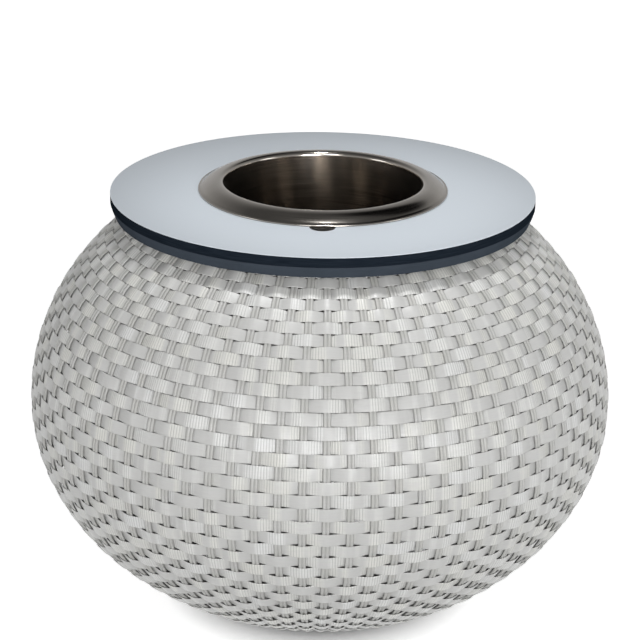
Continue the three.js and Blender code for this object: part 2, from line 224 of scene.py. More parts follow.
decor_color = (0.62, 0.675, 0.73)
decor_dark = (0.61, 0.665, 0.72)
decor_bright = (0.63, 0.685, 0.74)
decor_roughness = 0.36
decor_least_roughness = 0.33
decor_most_roughness = 0.4
decor_cloud_scale = 9
decor_stipple_scale = 2600
decor_stipple_depth = 0.00003

core_color = (0.011, 0.016, 0.024)
core_dark = (0.008, 0.012, 0.018)
core_bright = (0.016, 0.022, 0.031)
core_roughness = 0.3
core_least_roughness = 0.26
core_most_roughness = 0.42
core_layer_scale = 2400
core_layer_level_share = 0.02
core_layer_low_share = 0.35
core_layer_depth = 0.00004
core_scuff_scale = 60

charcoal_look = dict(color=(0.042, 0.052, 0.066), bright=(0.052, 0.064, 0.081), roughness=0.45, specular=0)
frame_look = dict(color=(0.56, 0.555, 0.54), bright=(0.62, 0.615, 0.6), roughness=0.45, specular=0.5)
coat_roughness_drop = 0.04
coat_roughness_rise = 0.06
coat_peel_scale = 900
coat_peel_depth = 0.00008
coat_cloud_scale = 25

steel_color = (0.43, 0.4, 0.365)
steel_shade = (0.36, 0.335, 0.305)
steel_least_roughness = 0.1
steel_most_roughness = 0.2
steel_ring_scale = 1500
steel_ring_drift_share = 0.01
steel_ring_depth = 0.000013
steel_stain_scale = 18

zinc_color = (0.48, 0.49, 0.5)
zinc_blue = (0.43, 0.45, 0.48)
zinc_yellow = (0.55, 0.54, 0.5)
zinc_roughness = 0.32
zinc_least_roughness = 0.28
zinc_most_roughness = 0.42
zinc_cloud_scale = 140
zinc_grain_scale = 1500
zinc_grain_depth = 0.00003

nylon_color = (0.016, 0.016, 0.018)
nylon_dark = (0.012, 0.012, 0.014)
nylon_bright = (0.026, 0.026, 0.028)
nylon_roughness = 0.55
nylon_least_roughness = 0.48
nylon_most_roughness = 0.62
nylon_grain_scale = 1400
nylon_grain_depth = 0.00006


# Meshes

def mesh_object(name, points, faces, sharp_angle=turned_sharp_angle):
    """A mesh object from points and quads, smooth but for edges sharper than the angle."""
    mesh = bpy.data.meshes.new(name)
    mesh.vertices.add(len(points))
    mesh.vertices.foreach_set("co", np.ascontiguousarray(points, np.float32).ravel())
    mesh.loops.add(faces.size)
    mesh.loops.foreach_set("vertex_index", faces.ravel())
    mesh.polygons.add(len(faces))
    mesh.polygons.foreach_set("loop_start", np.arange(len(faces)) * faces.shape[1])
    mesh.update(calc_edges=True)
    mesh.validate()
    return smooth_object(name, mesh, sharp_angle)


def smooth_object(name, mesh, sharp_angle):
    """An object in the scene that shows this mesh, smooth but for edges sharper than the angle."""
    mesh.polygons.foreach_set("use_smooth", np.ones(len(mesh.polygons), bool))
    mesh.set_sharp_from_angle(angle=sharp_angle)
    return linked(bpy.data.objects.new(name, mesh))


def linked(made):
    """Puts a new object into the scene."""
    bpy.context.scene.collection.objects.link(made)
    return made


def grid_faces(rows, columns, close_rows, close_columns):
    """Quads of a grid of points, closed into a ring along its rows, its columns or both."""
    row = np.arange(rows if close_rows else rows - 1)
    column = np.arange(columns if close_columns else columns - 1)
    row, column = np.meshgrid(row, column, indexing="ij")
    next_row = (row + 1) % rows
    next_column = (column + 1) % columns
    corners = [row * columns + column, row * columns + next_column,
               next_row * columns + next_column, next_row * columns + column]
    return np.stack(corners, axis=-1).reshape(-1, 4)


def end_faces(rows, columns):
    """Quads that close both ends of a swept section with an even number of points."""
    half = columns // 2
    first = np.arange(half - 1)
    start = np.stack([first, first + 1, columns - 2 - first, columns - 1 - first], axis=-1)
    finish = start[:, ::-1] + (rows - 1) * columns
    return np.concatenate([start, finish])


def lathe(name, profile, segments, sharp_angle=turned_sharp_angle):
    """Turns a closed outline of (radius, height) about the upright axis."""
    profile = np.array(profile)
    angle = np.arange(segments) * 2 * math.pi / segments
    radius, height = profile[:, 0], profile[:, 1]
    points = np.stack([
        np.outer(np.cos(angle), radius),
        np.outer(np.sin(angle), radius),
        np.broadcast_to(height, (segments, len(profile))),
    ], axis=-1)
    faces = grid_faces(segments, len(profile), True, True)
    return mesh_object(name, points.reshape(-1, 3), faces, sharp_angle)


def arc(centre, radius, start, end, steps):
    """Points of (radius, height) on an arc from one angle to another."""
    angle = np.linspace(start, end, steps + 1)
    return [(centre[0] + radius * math.cos(a), centre[1] + radius * math.sin(a)) for a in angle]


def bezier(start, handle, end, steps):
    """Points of a quadratic curve."""
    share = np.linspace(0, 1, steps + 1)[:, None]
    start, handle, end = np.array(start), np.array(handle), np.array(end)
    points = start * (1 - share) ** 2 + handle * 2 * share * (1 - share) + end * share ** 2
    return [tuple(point) for point in points]


def cad_points(node):
    """The corners of a CAD node's mesh."""
    return np.array([vertex.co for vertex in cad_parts[node].data.vertices])


def cad_rim(node, pick):
    """Radius and height of a CAD node's highest or lowest edge."""
    points = cad_points(node)
    height = pick(points[:, 2])
    level = points[np.isclose(points[:, 2], height)]
    return np.hypot(level[:, 0], level[:, 1]).max(), height


# The globe's outer meridian: half an ellipse above the equator and half an ellipse below it

weave_top_radius, weave_top_height = cad_rim("woven_globe", np.max)
weave_bottom_radius, weave_bottom_height = cad_rim("woven_globe", np.min)
upper_rise = (weave_top_height - equator_height) / math.sqrt(1 - (weave_top_radius / globe_radius) ** 2)
lower_drop = (equator_height - weave_bottom_height) / math.sqrt(1 - (weave_bottom_radius / globe_radius) ** 2)


def meridian_frame(angle):
    """Points on the meridian and its outward normals, each as (radius, height)."""
    rise = np.where(angle >= 0, upper_rise, lower_drop)
    points = np.stack([globe_radius * np.cos(angle), equator_height + rise * np.sin(angle)], axis=-1)
    normals = np.stack([np.cos(angle) / globe_radius, np.sin(angle) / rise], axis=-1)
    return points, normals / np.linalg.norm(normals, axis=-1, keepdims=True)


meridian_start = math.acos(weave_top_radius / globe_radius)
meridian_end = -math.acos(weave_bottom_radius / globe_radius)
meridian_angles = np.linspace(meridian_start, meridian_end, meridian_samples)
meridian_steps = np.linalg.norm(np.diff(meridian_frame(meridian_angles)[0], axis=0), axis=1)
meridian_distances = np.concatenate([[0], np.cumsum(meridian_steps)])
meridian_length = meridian_distances[-1]


def on_meridian(distance, outward):
    """(radius, height) at a distance along the meridian from the top, moved outward from its surface."""
    angle = np.interp(distance, meridian_distances, meridian_angles)
    points, normals = meridian_frame(angle)
    return points + normals * np.asarray(outward)[..., None]


def around(radius_height, angle):
    """Places (radius, height) at an angle about the axis."""
    radius, height = radius_height[..., 0], radius_height[..., 1]
    return np.stack([radius * np.cos(angle), radius * np.sin(angle), height], axis=-1)


# Rows widen evenly from the top to the bottom
row_growth = (meridian_length - top_row_pitch * row_count) / row_count ** 2


def row_distance(row):
    """Distance along the meridian from the top to a place counted in rows."""
    return top_row_pitch * row + row_growth * row ** 2


stake_pitch_angle = 2 * math.pi / stake_count
first_stake_angle = -math.pi / 2 + stake_pitch_angle * stake_lead_share


def slimness(distance):
    """How much narrower than its equator the globe is there, as a share, below the equator only."""
    radius = on_meridian(distance, np.zeros_like(distance))[..., 0]
    return np.where(distance > meridian_length / 2, 1 - radius / globe_radius, 0)


def recess_painted_shade_share(distance):
    """How strong the painted recess shade is there: a least share on the upper half, and all of it low down.
    """
    lowness = np.minimum(1, slimness(distance) / full_recess_painted_shade_slim_share)
    return least_recess_painted_shade_share + (1 - least_recess_painted_shade_share) * lowness


def add_strand_data(made, along, across, tint, recess_painted_shade):
    """Keeps for the material each point's place on its strand, the strand's tint and its share of painted
    recess shade.
    """
    data = np.stack([along, across, tint], axis=-1).astype(np.float32)
    attribute = made.data.attributes.new("strand", "FLOAT_VECTOR", "POINT")
    attribute.data.foreach_set("vector", data.ravel())
    attribute = made.data.attributes.new("recess_painted_shade", "FLOAT", "POINT")
    attribute.data.foreach_set("value", recess_painted_shade.astype(np.float32))


def weaver_lift(distance):
    """From 1 on top of a stake to -1 behind the next: a wave with a slight crease over the stake."""
    wave = np.cos(math.pi * distance)
    return wave + weaver_crease_share * (1 - 2 * distance - wave)


def weaver_row(row):
    """Points of one weaver, once round from behind a stake at the back, and its strand data."""
    steps = stake_count * weaver_steps_per_stake
    seam = stake_count // 2 + (row + 1) % 2
    place = seam + np.arange(steps + 1) / weaver_steps_per_stake
    over = (place - row) % 2
    from_crest = np.minimum(over, 2 - over)
    knots = seam + np.arange(stake_count + 1)
    crossing = random.normal(1, weaver_swing_spread_share, stake_count + 1)
    drift = random.normal(0, weaver_wander, stake_count + 1)
    crossing[-1], drift[-1] = crossing[0], drift[0]
    middle = row_distance(row + 0.5)
    radius = on_meridian(middle, 0.0)[0]
    swing = (weaver_swing + weaver_swing_growth * slimness(middle)) * np.interp(place, knots, crossing)
    width = row_distance(row + 1) - row_distance(row) - row_gap
    across_share, lift_share = np.array(weaver_section_shares).T
    across = np.interp(place, knots, drift)[:, None] + width * across_share
    outward = (swing * weaver_lift(from_crest))[:, None] + weaver_thickness * lift_share
    spot = on_meridian(middle + across, outward - weave_middle_depth)
    points = around(spot, (first_stake_angle + place * stake_pitch_angle)[:, None])
    along = np.broadcast_to((place * stake_pitch_angle * radius)[:, None], across.shape)
    floats = np.floor((place - row + 1) / 2).astype(int) % (stake_count // 2)
    tint = np.broadcast_to(random.random(stake_count // 2)[floats][:, None], across.shape)
    # Painted shade that darkens the weaver from its crest towards where it goes behind a stake
    depth = recess_painted_shade_share(middle) * from_crest
    recess_painted_shade = np.broadcast_to(depth[:, None], across.shape)
    return points, along, np.broadcast_to(across_share, across.shape), tint, recess_painted_shade


def make_weavers():
    """The weavers, in a few pieces from the top down."""
    made = []
    for rows in np.array_split(np.arange(row_count), weaver_pieces):
        grids = [weaver_row(row) for row in rows]
        steps, sides = grids[0][0].shape[:2]
        faces = np.concatenate([grid_faces(steps, sides, False, True), end_faces(steps, sides)])
        all_faces = np.concatenate([faces + index * steps * sides for index in range(len(rows))])
        points = np.concatenate([grid[0].reshape(-1, 3) for grid in grids])
        piece = mesh_object(f"weavers_{len(made) + 1}", points, all_faces)
        parts = range(1, len(grids[0]))
        add_strand_data(piece, *(np.concatenate([grid[part].ravel() for grid in grids]) for part in parts))
        made.append(piece)
    return made


def make_stakes():
    """The upright stakes, each a flat strand with a groove along its middle."""
    rows = np.arange(row_count * stake_steps_per_row + 1) / stake_steps_per_row
    distance = row_distance(rows)
    pitch = on_meridian(distance, np.zeros(len(rows)))[:, 0] * stake_pitch_angle
    width = np.minimum(stake_width, stake_pitch_share * pitch)
    across_share, lift_share = np.array(stake_section_shares).T
    across = width[:, None] * across_share
    grids, all_faces, all_tints = [], [], []
    faces = grid_faces(len(rows), len(across_share), False, True)
    faces = np.concatenate([faces, end_faces(len(rows), len(across_share))])
    for stake in range(stake_count):
        side = -1 if stake % 2 == 0 else 1
        bulge = stake_bulge * side * np.cos(math.pi * (rows - 0.5))
        outward = stake_rise + bulge[:, None] + stake_thickness * lift_share - weave_middle_depth
        spot = on_meridian(np.broadcast_to(distance[:, None], outward.shape), outward)
        knots = np.arange(0, row_count + stake_wander_rows, stake_wander_rows)
        wander = np.interp(rows, knots, random.normal(0, stake_wander, len(knots)))
        angle = first_stake_angle + stake * stake_pitch_angle + (across + wander[:, None]) / spot[..., 0]
        grids.append(around(spot, angle).reshape(-1, 3))
        all_faces.append(faces + stake * len(rows) * len(across_share))
        all_tints.append(np.full(across.size, random.random()))
    made = mesh_object("stakes", np.concatenate(grids), np.concatenate(all_faces), strand_sharp_angle)
    along = np.tile(np.broadcast_to(distance[:, None], across.shape).ravel(), stake_count)
    share = np.tile(across_share, len(rows) * stake_count)
    # Painted recess shade on the stakes, stronger low down
    recess_painted_shade = np.tile(np.repeat(recess_painted_shade_share(distance), len(across_share)), stake_count)
    add_strand_data(made, along, share, np.concatenate(all_tints), recess_painted_shade)
    return made


def ring_sizes(node):
    """The tube radius of a CAD ring, and the radius and height of its middle line."""
    low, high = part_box(node)
    tube = (high.z - low.z) / 2
    return tube, high.x - tube, (high.z + low.z) / 2


def make_binding(name, ring_node):
    """A flat strand wound in a close spiral round one of the frame's rings."""
    tube, ring_radius, ring_height = ring_sizes(ring_node)
    turns = round(2 * math.pi * ring_radius / (binding_strand_width - binding_lap))
    steps = turns * binding_steps_per_turn
    turn = np.arange(steps) / binding_steps_per_turn
    across_share, lift_share = np.array(binding_section_shares).T
    across = binding_strand_width * across_share
    reach = tube + binding_ring_gap + binding_strand_thickness * (0.5 + lift_share)
    round_angle = 2 * math.pi * turn[:, None]
    radius = ring_radius + reach * np.cos(round_angle)
    height = ring_height + reach * np.sin(round_angle)
    angle = 2 * math.pi * turn[:, None] / turns + across / ring_radius
    points = np.stack([radius * np.cos(angle), radius * np.sin(angle), height], axis=-1)
    faces = grid_faces(steps, len(across), True, True)
    made = mesh_object(name, points.reshape(-1, 3), faces, strand_sharp_angle)
    along = np.broadcast_to(2 * math.pi * turn[:, None] * tube, height.shape)
    tint = np.interp(turn, np.arange(turns + 1), random.random(turns + 1))
    share = np.tile(across_share, steps)
    add_strand_data(made, along.ravel(), share, np.repeat(tint, len(across)), np.zeros(height.size))
    return made


# Round top

def top_outline(node):
    """The outer circle and the hole with its notch, measured on a CAD plate's upper face."""
    points = cad_points(node)
    points = points[np.isclose(points[:, 2], points[:, 2].max())]
    radii = np.hypot(points[:, 0], points[:, 1])
    outer_radius = radii.max()
    away = points[:, 1] > 0
    hole_radius = radii[away].min()
    hole_points = points[radii < (outer_radius + hole_radius) / 2]
    notch_end = -hole_points[:, 1].min()
    notch_radius = notch_half_width(hole_points, hole_radius)
    notch_centre = notch_end - notch_radius
    angle = np.arange(top_segments) * 2 * math.pi / top_segments
    outer = np.stack([outer_radius * np.cos(angle), outer_radius * np.sin(angle)], axis=-1)
    mouth = math.asin(notch_radius / hole_radius)
    angle = np.linspace(mouth - math.pi / 2, 3 * math.pi / 2 - mouth, top_segments)
    hole = np.stack([hole_radius * np.cos(angle), hole_radius * np.sin(angle)], axis=-1)
    angle = np.linspace(math.pi, 2 * math.pi, notch_steps)
    notch = np.stack([notch_radius * np.cos(angle), notch_radius * np.sin(angle) - notch_centre], axis=-1)
    return outer, np.concatenate([hole, notch])


def notch_half_width(hole_points, hole_radius):
    """Half the width of the notch, from the corners that lie outside the hole's circle."""
    radii = np.hypot(hole_points[:, 0], hole_points[:, 1])
    beyond = hole_points[radii > hole_radius * notch_reach_share]
    return np.abs(beyond[:, 0]).max()


def plate(name, node, edge_round):
    """A flat plate of a CAD plate's outline, with rounded edges."""
    low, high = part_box(node)
    curve = bpy.data.curves.new(name, "CURVE")
    curve.dimensions = "2D"
    curve.fill_mode = "BOTH"
    for outline in top_outline(node):
        spline = curve.splines.new("POLY")
        spline.points.add(len(outline) - 1)
        spline.use_cyclic_u = True
        for point, place in zip(spline.points, outline):
            point.co = (place[0], place[1], 0, 1)
    curve.extrude = (high.z - low.z) / 2 - edge_round
    curve.bevel_depth = edge_round
    curve.bevel_resolution = edge_steps
    curve.offset = -edge_round
    source = linked(bpy.data.objects.new(name + "_curve", curve))
    bpy.context.view_layer.update()
    evaluated = source.evaluated_get(bpy.context.evaluated_depsgraph_get())
    mesh = bpy.data.meshes.new_from_object(evaluated)
    bpy.data.objects.remove(source)
    mesh.transform(Matrix.Translation((0, 0, (high.z + low.z) / 2)))
    return smooth_object(name, mesh, plate_sharp_angle)


def make_carrier():
    """The coated ring under the board: a flat flange with a skirt that tapers in."""
    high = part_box("carrier_ring")[1]
    bottom_radius, bottom = cad_rim("carrier_ring", np.min)
    points = cad_points("carrier_ring")
    radii = np.hypot(points[:, 0], points[:, 1])
    inner_radius = radii.min()
    underside = points[radii > high.x * carrier_rim_share, 2].min()
    turn = math.pi / 2
    rounding = carrier_edge_round
    inner_skirt = bottom_radius - carrier_skirt_thickness
    outer_foot = (bottom_radius - rounding, bottom + rounding)
    inner_foot = (inner_skirt + rounding, bottom + rounding)
    profile = [
        *arc((high.x - rounding, high.z - rounding), rounding, turn, 0, edge_steps),
        *arc((high.x - rounding, underside), rounding, 0, -carrier_skirt_taper, edge_steps),
        *arc(outer_foot, rounding, -carrier_skirt_taper, -turn, edge_steps),
        *arc(inner_foot, rounding, -turn, -2 * turn, edge_steps),
        (inner_skirt, underside),
        (inner_radius, underside),
        (inner_radius, high.z),
    ]
    return lathe("carrier_ring_turned", profile, top_segments)


# Bucket

def thicken(line, thickness):
    """The closed outline of a sheet of this thickness along a line that ends on the axis."""
    line = np.array(line)
    ahead = np.vstack([line[1:], line[-1:]])
    behind = np.vstack([line[:1], line[:-1]])
    along = ahead - behind
    along /= np.linalg.norm(along, axis=1, keepdims=True)
    normal = np.stack([-along[:, 1], along[:, 0]], axis=1)
    outer = line + normal * thickness / 2
    inner = line - normal * thickness / 2
    for side in (outer, inner):
        side[-1, 0] = 0
    return np.concatenate([outer, inner[::-1]])


def make_bucket():
    """The spun bucket: rolled hem, domed flange, crest, tapered wall and rounded floor corner."""
    low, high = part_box("ice_bucket")
    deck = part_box("top_decor_sheet")[1].z
    half_sheet = bucket_sheet / 2
    points = cad_points("ice_bucket")
    radii = np.hypot(points[:, 0], points[:, 1])
    floor_height = low.z + half_sheet
    crest_height = high.z - half_sheet
    crest_radius = radii[np.isclose(points[:, 2], high.z)].min()
    base_radius = radii[points[:, 2] < low.z + floor_corner + bucket_sheet].max() - half_sheet
    wall_radius = crest_radius - crest_round
    bead_centre = (high.x - hem_bead_radius, deck + hem_bead_radius)
    bead_end = (bead_centre[0] - hem_bead_radius, bead_centre[1])
    groove = (bead_end[0] - hem_groove_width, bead_end[1] + hem_bead_radius)
    crest = (crest_radius, crest_height)
    wall_top = (wall_radius, crest_height - crest_round)
    wall_foot = (base_radius, floor_height + floor_corner)
    floor_edge = (base_radius - floor_corner, floor_height)
    line = [
        *arc(bead_centre, hem_bead_radius - half_sheet, hem_bead_start, hem_bead_end, bend_steps),
        *bezier(groove, (crest_radius + crest_shoulder, crest_height), crest, flange_steps),
        *bezier(crest, (wall_radius, crest_height), wall_top, bend_steps)[1:],
        *bezier(wall_foot, (base_radius, floor_height), floor_edge, bend_steps),
        (0, floor_height),
    ]
    return lathe("ice_bucket_spun", thicken(line, bucket_sheet), bucket_segments, bucket_sharp_angle)


# Frame

def make_ring(node):
    """A round tube bent into a ring, where a CAD ring lies."""
    tube, *middle = ring_sizes(node)
    profile = arc(middle, tube, 0, 2 * math.pi, tube_sides)[:-1]
    return lathe(node + "_tube", profile, ring_segments)


def make_rib(node, angle):
    """A bent tube just inside the weave, as thick as the CAD's first rib, which lies along +X."""
    low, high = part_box("frame_rib_1")
    tube = (high.y - low.y) / 2
    depth = globe_radius - high.x + tube
    upper_gap = ring_sizes("frame_ring_upper")[0]
    lower_gap = ring_sizes("frame_ring_lower")[0]
    distance = np.linspace(upper_gap, meridian_length - lower_gap, rib_steps + 1)
    turn = np.arange(tube_sides) * 2 * math.pi / tube_sides
    shape = (rib_steps + 1, tube_sides)
    outward = np.broadcast_to(tube * np.cos(turn) - depth, shape)
    spot = on_meridian(np.broadcast_to(distance[:, None], shape), outward)
    side = tube * np.sin(turn)
    across = np.array([-math.sin(angle), math.cos(angle), 0])
    points = around(spot, angle) + side[None, :, None] * across
    faces = grid_faces(rib_steps + 1, tube_sides, False, True)
    faces = np.concatenate([faces, end_faces(rib_steps + 1, tube_sides)])
    return mesh_object(node + "_tube", points.reshape(-1, 3), faces)


def soften(node, width):
    """Rounds a CAD node's sharp edges in the picture, and leaves its mesh alone."""
    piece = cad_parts[node]
    bevel = piece.modifiers.new("edges", "BEVEL")
    bevel.width = width
    bevel.segments = bevel_steps
    bevel.limit_method = "ANGLE"
    bevel.angle_limit = bevel_sharp_angle
    bevel.harden_normals = True


# Materials

def new_material(name, color, roughness, metallic=0):
    """A material with one Principled shader, and the helper that adds nodes to it."""
    material = bpy.data.materials.new(name)
    material.use_nodes = True
    shader = material.node_tree.nodes["Principled BSDF"]
    shader.inputs["Base Color"].default_value = (*color, 1)
    shader.inputs["Roughness"].default_value = roughness
    shader.inputs["Metallic"].default_value = metallic
    return material, Nodes(material.node_tree, shader)


class Nodes:
    """Short ways to add and join the nodes of a tree."""

    # Where the Mix node keeps its sockets for colours
    mix_sockets = {"factor": 0, "first": 6, "second": 7, "result": 2}

    def __init__(self, tree, shader=None):
        self.tree = tree
        self.shader = shader

    def add(self, kind, **settings):
        """A new node with these settings."""
        node = self.tree.nodes.new(kind)
        for name, value in settings.items():
            setattr(node, name, value)
        return node

    def feed(self, socket, value):
        """Joins another node's output to a socket, or sets the socket's value."""
        if isinstance(value, bpy.types.NodeSocket):
            self.tree.links.new(value, socket)
        else:
            socket.default_value = value

    def math(self, operation, first, second=0):
        """One step of arithmetic."""
        node = self.add("ShaderNodeMath", operation=operation)
        self.feed(node.inputs[0], first)
        self.feed(node.inputs[1], second)
        return node.outputs[0]

    def mix(self, factor, first, second):
        """A colour between two others, each a socket or red, green and blue."""
        node = self.add("ShaderNodeMix", data_type="RGBA")
        self.feed(node.inputs[self.mix_sockets["factor"]], factor)
        for socket, color in (("first", first), ("second", second)):
            value = (*color, 1) if isinstance(color, tuple) else color
            self.feed(node.inputs[self.mix_sockets[socket]], value)
        return node.outputs[self.mix_sockets["result"]]

    def spread(self, value, low, high, to_low, to_high):
        """Maps the range from low to high onto another, and holds it there beyond its ends."""
        node = self.add("ShaderNodeMapRange")
        for socket, item in zip(node.inputs, (value, low, high, to_low, to_high)):
            self.feed(socket, item)
        return node.outputs[0]

    def spread_noise(self, value, to_low=0, to_high=1):
        """Maps the range that a noise mostly keeps to onto another."""
        return self.spread(value, noise_low_share, noise_high_share, to_low, to_high)

    def noise(self, vector, scale, detail):
        """A noise, from 0 to 1."""
        node = self.add("ShaderNodeTexNoise")
        self.feed(node.inputs["Vector"], vector)
        self.feed(node.inputs["Scale"], scale)
        self.feed(node.inputs["Detail"], detail)
        return node.outputs["Fac"]

    def place(self):
        """The place of a point on its object, in metres."""
        return self.add("ShaderNodeTexCoord").outputs["Object"]

    def join(self, x, y, z):
        """One vector from three values."""
        node = self.add("ShaderNodeCombineXYZ")
        for socket, value in zip(node.inputs, (x, y, z)):
            self.feed(socket, value)
        return node.outputs[0]

    def split(self, vector):
        """The three values of a vector."""
        node = self.add("ShaderNodeSeparateXYZ")
        self.feed(node.inputs[0], vector)
        return node.outputs

    def bump(self, height, depth):
        """Gives the shader a fine relief."""
        node = self.add("ShaderNodeBump")
        node.inputs["Distance"].default_value = depth
        self.feed(node.inputs["Height"], height)
        self.feed(self.shader.inputs["Normal"], node.outputs[0])

    def color(self, value):
        """Gives the shader its colour."""
        self.feed(self.shader.inputs["Base Color"], value)

    def roughness(self, value):
        """Gives the shader its roughness."""
        self.feed(self.shader.inputs["Roughness"], value)

    def specular(self, value):
        """Gives the shader the strength of its plain reflection."""
        self.shader.inputs["Specular IOR Level"].default_value = value


def strand_material(name, cool, warm, plain, shade, rib_spacing, rib_shade, rib_depth, groove_shade,
                    recess_painted_shade_strength, roughness):
    """Resin strand: its own tint, ribbed and plain stretches and streaks, with painted shade in the rib
    troughs, the groove, along the edges and in the recesses.
    """
    material, nodes = new_material(name, cool, roughness)
    nodes.specular(resin_specular)
    strand = nodes.add("ShaderNodeAttribute", attribute_name="strand").outputs["Vector"]
    along, across, tint = nodes.split(strand)

    ribs = nodes.math("SINE", nodes.math("MULTIPLY", along, 2 * math.pi / rib_spacing))
    patch_place = nodes.join(along, nodes.math("MULTIPLY", tint, resin_patch_spacing), tint)
    patches = nodes.noise(patch_place, resin_patch_scale, soft_detail)
    ribbed = nodes.spread(patches, resin_patch_low_share, resin_patch_high_share, 0, 1)
    ribs = nodes.math("MULTIPLY", ribs, nodes.spread(ribbed, 0, 1, resin_plain_rib_share, 1))
    streak_place = nodes.join(nodes.math("MULTIPLY", along, resin_streak_stretch), across, tint)
    streaks = nodes.noise(streak_place, resin_streak_scale, fine_detail)

    base = nodes.mix(ribbed, plain, nodes.mix(tint, cool, warm))
    streaking = nodes.spread(streaks, resin_streak_low_share, resin_streak_high_share, 0, resin_streak_shade)
    streaked = nodes.mix(streaking, base, shade)
    # Painted shade in the rib troughs
    with_painted_rib_shade = nodes.mix(nodes.spread(ribs, resin_rib_low, resin_rib_high, rib_shade, 0), streaked, shade)
    # Painted shade in the groove along the middle and along both edges of the strand
    aside = nodes.math("ABSOLUTE", across)
    groove = nodes.spread(aside, resin_groove_inner_share, resin_groove_outer_share, groove_shade, 0)
    edge_painted_shade = nodes.spread(aside, resin_edge_inner_share, resin_edge_outer_share, 0, groove_shade)
    with_painted_groove_and_edge_shade = nodes.mix(nodes.math("MAXIMUM", groove, edge_painted_shade), with_painted_rib_shade, shade)
    # Painted shade in the recesses between strands, strongest low down
    recess_painted_shade = nodes.add("ShaderNodeAttribute", attribute_name="recess_painted_shade").outputs["Fac"]
    nodes.color(nodes.mix(nodes.math("MULTIPLY", recess_painted_shade, recess_painted_shade_strength), with_painted_groove_and_edge_shade, shade))

    grain = nodes.noise(nodes.place(), resin_grain_scale, fine_detail)
    nodes.bump(nodes.math("ADD", ribs, nodes.math("MULTIPLY", grain, resin_grain_share)), rib_depth)
    least, most = roughness - resin_roughness_drop, roughness + resin_roughness_rise
    nodes.roughness(nodes.spread_noise(streaks, least, most))
    return material


def decor_material():
    """Pale laminate face: a fine satin stipple over a very even colour."""
    material, nodes = new_material("pale_decor", decor_color, decor_roughness)
    clouds = nodes.noise(nodes.place(), decor_cloud_scale, cloud_detail)
    nodes.color(nodes.mix(clouds, decor_dark, decor_bright))
    nodes.bump(nodes.noise(nodes.place(), decor_stipple_scale, fine_detail), decor_stipple_depth)
    nodes.roughness(nodes.spread_noise(clouds, decor_least_roughness, decor_most_roughness))
    return material


def core_material():
    """Cut laminate core: near black, with faint level layers."""
    material, nodes = new_material("dark_core", core_color, core_roughness)
    nodes.specular(0)
    x, y, z = nodes.split(nodes.place())
    level_x = nodes.math("MULTIPLY", x, core_layer_level_share)
    level_y = nodes.math("MULTIPLY", y, core_layer_level_share)
    layers = nodes.noise(nodes.join(level_x, level_y, z), core_layer_scale, soft_detail)
    layering = nodes.spread(layers, core_layer_low_share, noise_high_share, 0, 1)
    nodes.color(nodes.mix(layering, core_dark, core_bright))
    scuffs = nodes.noise(nodes.place(), core_scuff_scale, cloud_detail)
    nodes.roughness(nodes.spread_noise(scuffs, core_least_roughness, core_most_roughness))
    nodes.bump(layers, core_layer_depth)
    return material


def coat_material(name, color, bright, roughness, specular):
    """Powder coat: a fine orange peel, a little lighter where it is thin."""
    material, nodes = new_material(name, color, roughness)
    nodes.specular(specular)
    clouds = nodes.noise(nodes.place(), coat_cloud_scale, cloud_detail)
    nodes.color(nodes.mix(nodes.spread_noise(clouds), color, bright))
    nodes.bump(nodes.noise(nodes.place(), coat_peel_scale, fine_detail), coat_peel_depth)
    least, most = roughness - coat_roughness_drop, roughness + coat_roughness_rise
    nodes.roughness(nodes.spread_noise(clouds, least, most))
    return material


def steel_material():
    """Turned steel: fine rings about the axis, under the polish."""
    material, nodes = new_material("polished_steel", steel_color, steel_least_roughness, 1)
    x, y, z = nodes.split(nodes.place())
    squares = nodes.math("ADD", nodes.math("MULTIPLY", x, x), nodes.math("MULTIPLY", y, y))
    radius = nodes.math("SQRT", squares)
    ring_place = nodes.join(radius, z, nodes.math("MULTIPLY", x, steel_ring_drift_share))
    rings = nodes.noise(ring_place, steel_ring_scale, cloud_detail)
    stains = nodes.noise(nodes.place(), steel_stain_scale, cloud_detail)
    nodes.color(nodes.mix(nodes.spread_noise(stains), steel_color, steel_shade))
    nodes.roughness(nodes.spread_noise(rings, steel_least_roughness, steel_most_roughness))
    nodes.bump(rings, steel_ring_depth)
    return material


def zinc_material():
    """Zinc plate: cloudy, with a slight blue and yellow cast."""
    material, nodes = new_material("zinc_steel", zinc_color, zinc_roughness, 1)
    clouds = nodes.noise(nodes.place(), zinc_cloud_scale, plated_cloud_detail)
    nodes.color(nodes.mix(nodes.spread_noise(clouds), zinc_blue, zinc_yellow))
    nodes.roughness(nodes.spread_noise(clouds, zinc_least_roughness, zinc_most_roughness))
    nodes.bump(nodes.noise(nodes.place(), zinc_grain_scale, fine_detail), zinc_grain_depth)
    return material


def nylon_material():
    """Black moulded nylon with a fine spark-eroded grain."""
    material, nodes = new_material("black_nylon", nylon_color, nylon_roughness)
    grain = nodes.noise(nodes.place(), nylon_grain_scale, fine_detail)
    nodes.color(nodes.mix(grain, nylon_dark, nylon_bright))
    nodes.bump(grain, nylon_grain_depth)
    nodes.roughness(nodes.spread_noise(grain, nylon_least_roughness, nylon_most_roughness))
    return material


def light_paths(nodes):
    """What the camera sees straight, and what it sees mirrored or through something clear."""
    path = nodes.add("ShaderNodeLightPath")
    mirrored = nodes.math("MAXIMUM", path.outputs["Is Glossy Ray"], path.outputs["Is Transmission Ray"])
    return path.outputs["Is Camera Ray"], mirrored


def floor_material():
    """White floor that keeps the object's shadow: lifted for the camera, but not under the table."""
    material, nodes = new_material("floor", (floor_grey, floor_grey, floor_grey), floor_roughness)
    nodes.specular(0)
    seen = nodes.math("MAXIMUM", *light_paths(nodes))
    distance = nodes.add("ShaderNodeVectorMath", operation="LENGTH")
    nodes.feed(distance.inputs[0], nodes.place())
    lift = nodes.spread(distance.outputs["Value"], lift_start_radius, lift_full_radius, 0, floor_lift)
    nodes.shader.inputs["Emission Color"].default_value = (1, 1, 1, 1)
    nodes.feed(nodes.shader.inputs["Emission Strength"], nodes.math("MULTIPLY", seen, lift))
    return material


# Stage

